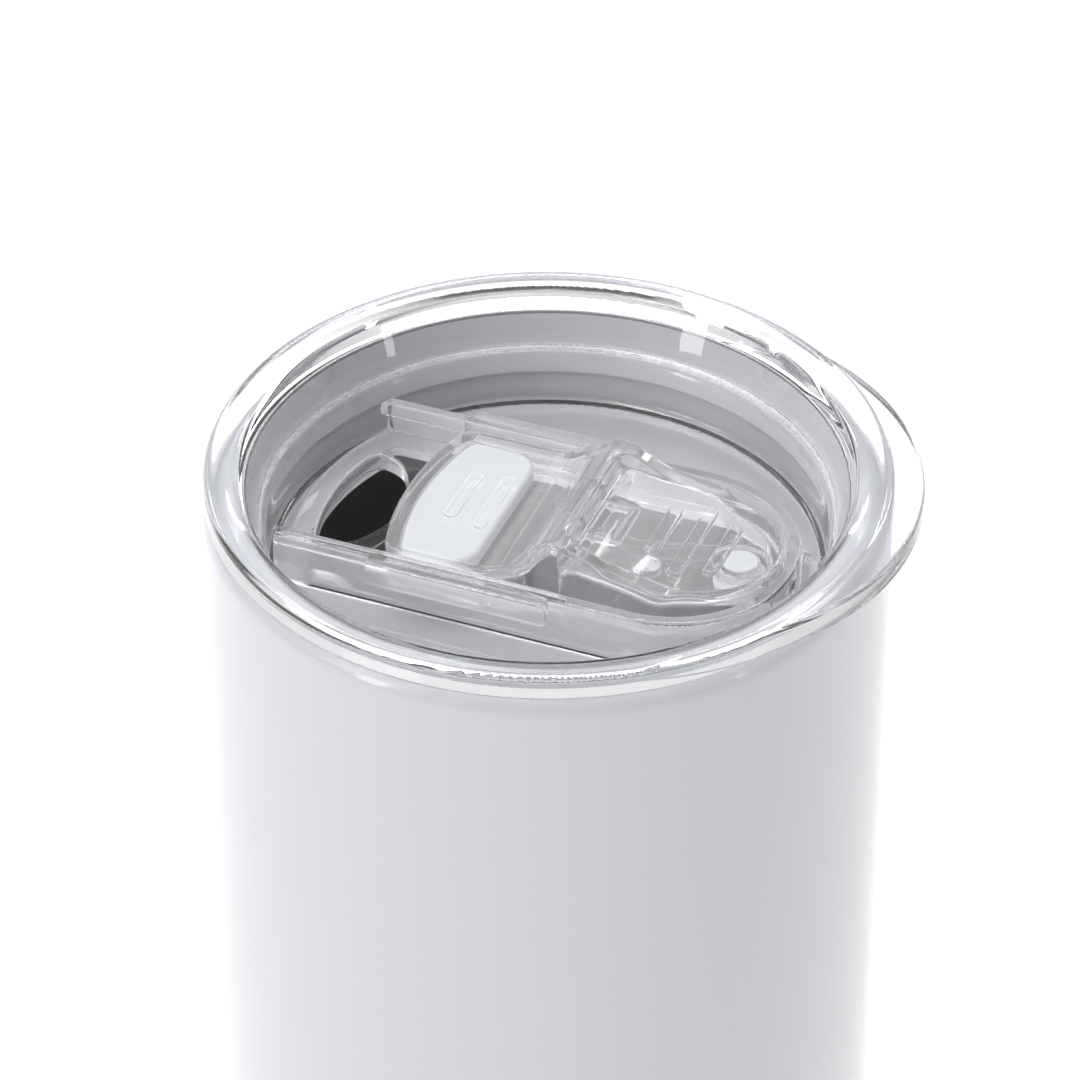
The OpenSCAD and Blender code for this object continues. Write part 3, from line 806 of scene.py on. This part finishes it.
def add_world():
    """A white studio, darker towards the horizon and the camera's side, with a dark gap part way up."""
    world = bpy.data.worlds.new("studio")
    bpy.context.scene.world = world
    world.use_nodes = True
    tree = world.node_tree
    tree.nodes.clear()
    output = tree.nodes.new("ShaderNodeOutputWorld")
    place = add(tree, "ShaderNodeTexCoord")
    way = place.outputs["Generated"]
    side = add(tree, "ShaderNodeVectorMath", {0: way, 1: BACK_WAY}, operation="DOT_PRODUCT")
    level = add(tree, "ShaderNodeMapRange", {
        "Value": side.outputs["Value"], "From Min": -0.6, "From Max": 0.7, "To Min": 0.55, "To Max": 0.7,
    }, interpolation_type="SMOOTHSTEP")
    height = add(tree, "ShaderNodeSeparateXYZ", {"Vector": way})
    horizon = add(tree, "ShaderNodeMapRange", {
        "Value": height.outputs["Z"], "From Min": 0.02, "From Max": 0.42, "To Min": 0.1, "To Max": 1.15,
    }, interpolation_type="SMOOTHSTEP")
    both = add(tree, "ShaderNodeMath", {0: level.outputs[0], 1: horizon.outputs[0]}, operation="MULTIPLY")
    offset = add(tree, "ShaderNodeMath", {0: height.outputs["Z"], 1: GAP_HEIGHT}, operation="SUBTRACT")
    away = add(tree, "ShaderNodeMath", {0: offset.outputs[0]}, operation="ABSOLUTE")
    gap = add(tree, "ShaderNodeMapRange", {
        "Value": away.outputs[0], "From Min": 0.05, "From Max": 0.12, "To Min": 0.05, "To Max": 1.12,
    }, interpolation_type="SMOOTHSTEP")
    strength = add(tree, "ShaderNodeMath", {0: both.outputs[0], 1: gap.outputs[0]}, operation="MULTIPLY")
    background = add(tree, "ShaderNodeBackground", {"Color": (1, 1, 1, 1), "Strength": strength.outputs[0]})
    tree.links.new(background.outputs[0], output.inputs["Surface"])


CAMERA_DISTANCE = 0.598
CAMERA_LENS = 185.7
CAMERA_ROLL = 0.15
AIM_OFFSET = Vector((2.8, -9.3, 0)) * MM


def seen_from(azimuth, elevation, distance):
    """A point at that angle and distance from the middle of the lid."""
    turn, rise = math.radians(azimuth), math.radians(elevation)
    away = Vector((math.cos(turn) * math.cos(rise), math.sin(turn) * math.cos(rise), math.sin(rise)))
    return TOP + away * distance


def add_camera():
    data = bpy.data.cameras.new("camera")
    data.lens = CAMERA_LENS
    data.sensor_width = 36
    data.clip_start = 0.02
    data.clip_end = 50
    obj = bpy.data.objects.new("camera", data)
    bpy.context.scene.collection.objects.link(obj)
    obj.location = seen_from(CAMERA_AZIMUTH, CAMERA_ELEVATION, CAMERA_DISTANCE)
    look = (TOP + AIM_OFFSET - obj.location).to_track_quat("-Z", "Y").to_matrix()
    obj.rotation_euler = (look @ Matrix.Rotation(math.radians(CAMERA_ROLL), 3, "Z")).to_euler()
    bpy.context.scene.camera = obj


def softbox(name, azimuth, elevation, distance, size, radiance):
    """An area light that faces the lid. Radiance is its brightness against a white of 1."""
    light = bpy.data.lights.new(name, "AREA")
    light.shape = "RECTANGLE"
    light.size, light.size_y = size
    light.energy = radiance * size[0] * size[1] * math.pi
    obj = bpy.data.objects.new(name, light)
    bpy.context.scene.collection.objects.link(obj)
    obj.location = seen_from(azimuth, elevation, distance)
    obj.rotation_euler = (TOP - obj.location).to_track_quat("-Z", "Y").to_euler()


add_floor()
add_world()
# The narrow boxes behind and above the lid draw its bright edges, and the low ones give the body its sheen
softbox("back", CAMERA_AZIMUTH + 180, 50, 1.5, (0.9, 0.12), 7.0)
softbox("back_low", CAMERA_AZIMUTH + 178, 43.5, 1.5, (0.55, 0.08), 5.5)
softbox("top", CAMERA_AZIMUTH - 90, 73, 1.4, (0.6, 0.22), 8.0)
softbox("back_left", CAMERA_AZIMUTH - 140, 32, 1.5, (0.5, 0.1), 14.0)
softbox("back_right", CAMERA_AZIMUTH + 140, 32, 1.5, (0.5, 0.1), 14.0)
softbox("front", CAMERA_AZIMUTH + 30, 62, 1.4, (0.5, 0.3), 2.0)
softbox("left", CAMERA_AZIMUTH - 54, 14, 1.3, (0.2, 0.5), 7.5)
softbox("left_fill", CAMERA_AZIMUTH - 60, 30, 1.6, (0.7, 0.7), 2.8)
softbox("right", CAMERA_AZIMUTH + 60, 12, 1.3, (0.08, 0.35), 6.0)
add_camera()
bpy.context.scene.view_settings.view_transform = "Standard"
